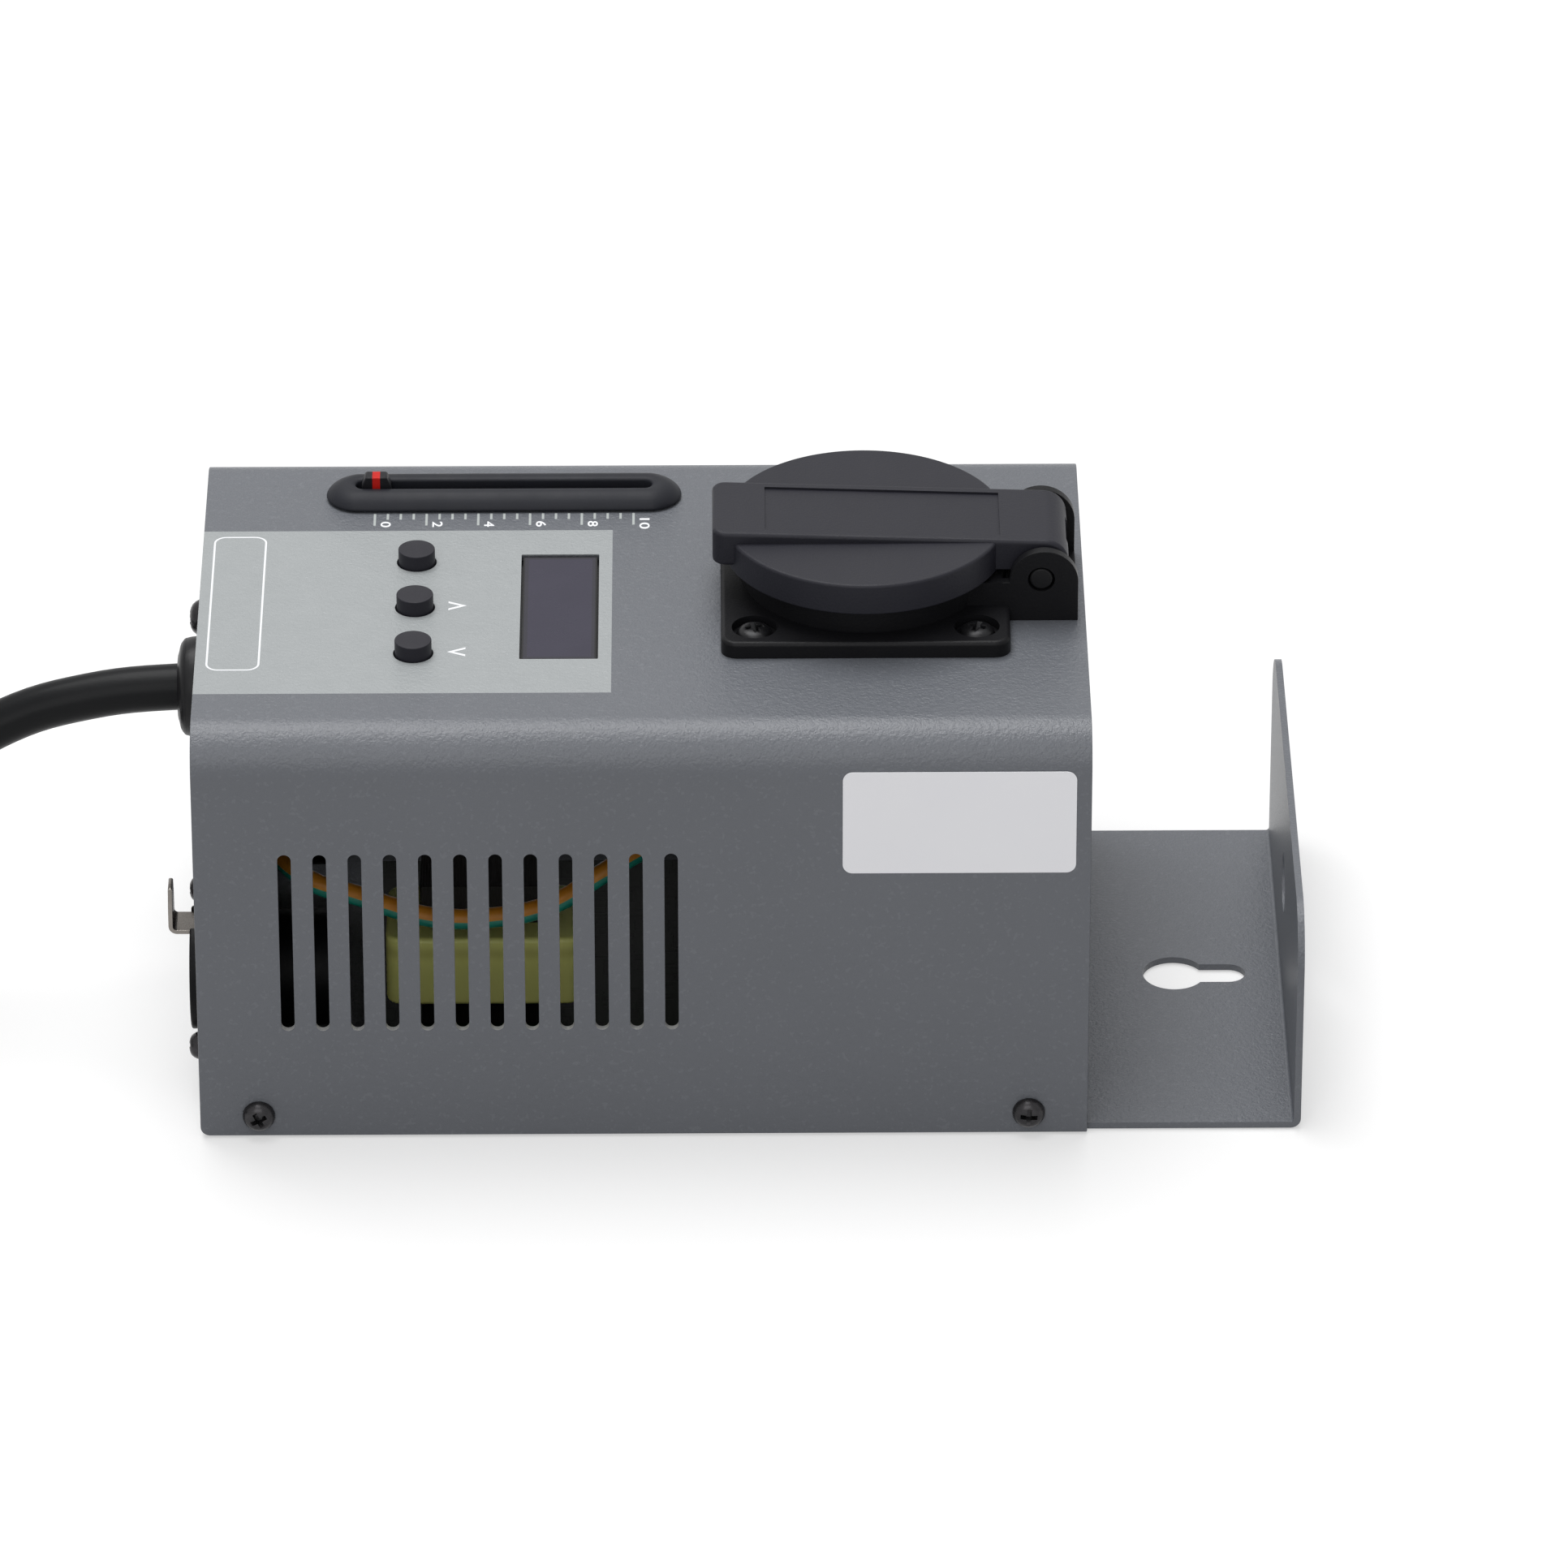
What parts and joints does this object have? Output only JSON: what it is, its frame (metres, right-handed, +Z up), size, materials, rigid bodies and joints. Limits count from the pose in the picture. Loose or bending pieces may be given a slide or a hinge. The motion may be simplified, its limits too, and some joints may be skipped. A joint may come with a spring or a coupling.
{
  "type": "dimmer pack",
  "caption": "Folded sheet-metal dimmer pack with a hinged-lid mains outlet, slide fader, push buttons, display window, data connectors, hanging bracket and a coiled mains lead.",
  "frame": {"origin": "centre of the case's footprint on the surface it stands on, the hanging bracket left out", "axes": "+Z up, +X from the connector panel towards the hanging bracket, +Y from the front with the label to the back"},
  "size_m": [0.3561, 0.1555, 0.0956],
  "materials": {
    "grey_paint": "fine powder coat, dark grey, semi-matte",
    "black_screw": "black zinc plated steel",
    "label": "blank white film",
    "outlet_plastic": "black moulding, fine texture",
    "bright_steel": "bright nickel plated",
    "brass": "plain brass",
    "gasket": "soft black rubber",
    "bezel": "smooth black elastomer",
    "black_plastic": "black, plain",
    "window": "dark violet-grey translucent filter",
    "circuit_board": "green solder mask on glass laminate",
    "button": "black, polished dome",
    "core_iron": "varnished laminations",
    "winding_tape": "yellow-green polyester tape",
    "bare_aluminium": "extruded, bare",
    "terminal_plastic": "green moulding",
    "capacitor_case": "yellow resin-filled box",
    "relief_plastic": "black nylon",
    "connector_plastic": "black glass-filled nylon",
    "earth_insulation": "green and yellow striped insulation",
    "live_insulation": "brown insulation",
    "neutral_insulation": "blue insulation",
    "cord_rubber": "smooth black sheath",
    "plug_rubber": "matte black moulding"
  },
  "bodies": {
    "case": {"chassis": "grey_paint", "cover": "grey_paint", "end_plate": "grey_paint", "cover_screw_front_left": "black_screw", "cover_screw_front_right": "black_screw", "cover_screw_back_left": "black_screw", "cover_screw_back_right": "black_screw", "front_label": "label", "outlet_housing": "outlet_plastic", "outlet_insert": "outlet_plastic", "earth_clip_left": "bright_steel", "earth_clip_right": "bright_steel", "contact_sleeve_front": "brass", "contact_sleeve_back": "brass", "hinge_pin": "outlet_plastic", "lid_spring": "bright_steel", "outlet_screw_1": "black_screw", "outlet_screw_2": "black_screw", "outlet_screw_3": "black_screw", "outlet_screw_4": "black_screw", "fader_bezel": "bezel", "fader_body": "bright_steel", "display_window": "window", "display_module": "black_plastic", "control_board": "circuit_board", "key_switch_front": "black_plastic", "key_switch_middle": "black_plastic", "key_switch_back": "black_plastic", "power_board": "circuit_board", "choke_core": "core_iron", "choke_winding": "winding_tape", "heat_sink": "bare_aluminium", "triac": "black_plastic", "terminal_block": "terminal_plastic", "suppression_capacitor": "capacitor_case", "strain_relief": "relief_plastic", "earth_stud": "black_screw", "earth_nut": "bright_steel", "fuse_holder": "black_plastic", "data_out_socket": "connector_plastic", "data_in_plug": "connector_plastic", "data_screw_1": "black_screw", "data_screw_2": "black_screw", "data_screw_3": "black_screw", "data_screw_4": "black_screw", "earth_wire": "earth_insulation", "live_wire": "live_insulation", "neutral_wire": "neutral_insulation", "cord_lead": "cord_rubber", "cord_coil": "cord_rubber", "cord_tail": "cord_rubber", "mains_plug": "plug_rubber"},
    "fader": {"fader_knob": "black_plastic"},
    "front_button": {"button_front": "button"},
    "middle_button": {"button_middle": "button"},
    "back_button": {"button_back": "button"},
    "lid": {"outlet_lid": "outlet_plastic", "lid_gasket": "gasket"},
    "latch": {"data_out_latch": "bright_steel"},
    "fuse_carrier": {"fuse_cap": "black_plastic"}
  },
  "joints": [
    {"name": "fader_slide", "type": "slide", "parent": "case", "child": "fader", "axis": [1, 0, 0], "range_m": [0, 0.045]},
    {"name": "front_button_press", "type": "slide", "parent": "case", "child": "front_button", "axis": [0, 0, -1], "range_m": [0, 0.0005], "stiffness_N_per_m": 800, "springref_m": -0.0005},
    {"name": "middle_button_press", "type": "slide", "parent": "case", "child": "middle_button", "axis": [0, 0, -1], "range_m": [0, 0.0005], "stiffness_N_per_m": 800, "springref_m": -0.0005},
    {"name": "back_button_press", "type": "slide", "parent": "case", "child": "back_button", "axis": [0, 0, -1], "range_m": [0, 0.0005], "stiffness_N_per_m": 800, "springref_m": -0.0005},
    {"name": "lid_hinge", "type": "hinge", "parent": "case", "child": "lid", "pos_m": [0.0692, 0.001, 0.0876], "axis": [0, 1, 0], "range_deg": [0, 110], "stiffness_Nm_per_rad": 0.02, "springref_deg": -28.65},
    {"name": "latch_press", "type": "hinge", "parent": "case", "child": "latch", "pos_m": [-0.07, -0.0275, 0.029], "axis": [0, -1, 0], "range_deg": [0, 6], "stiffness_Nm_per_rad": 0.05, "springref_deg": -2.86},
    {"name": "fuse_cap_turn", "type": "hinge", "parent": "case", "child": "fuse_carrier", "pos_m": [-0.0785, 0.0378, 0.0455], "axis": [-1, 0, 0], "range_deg": [0, 90]}
  ]
}
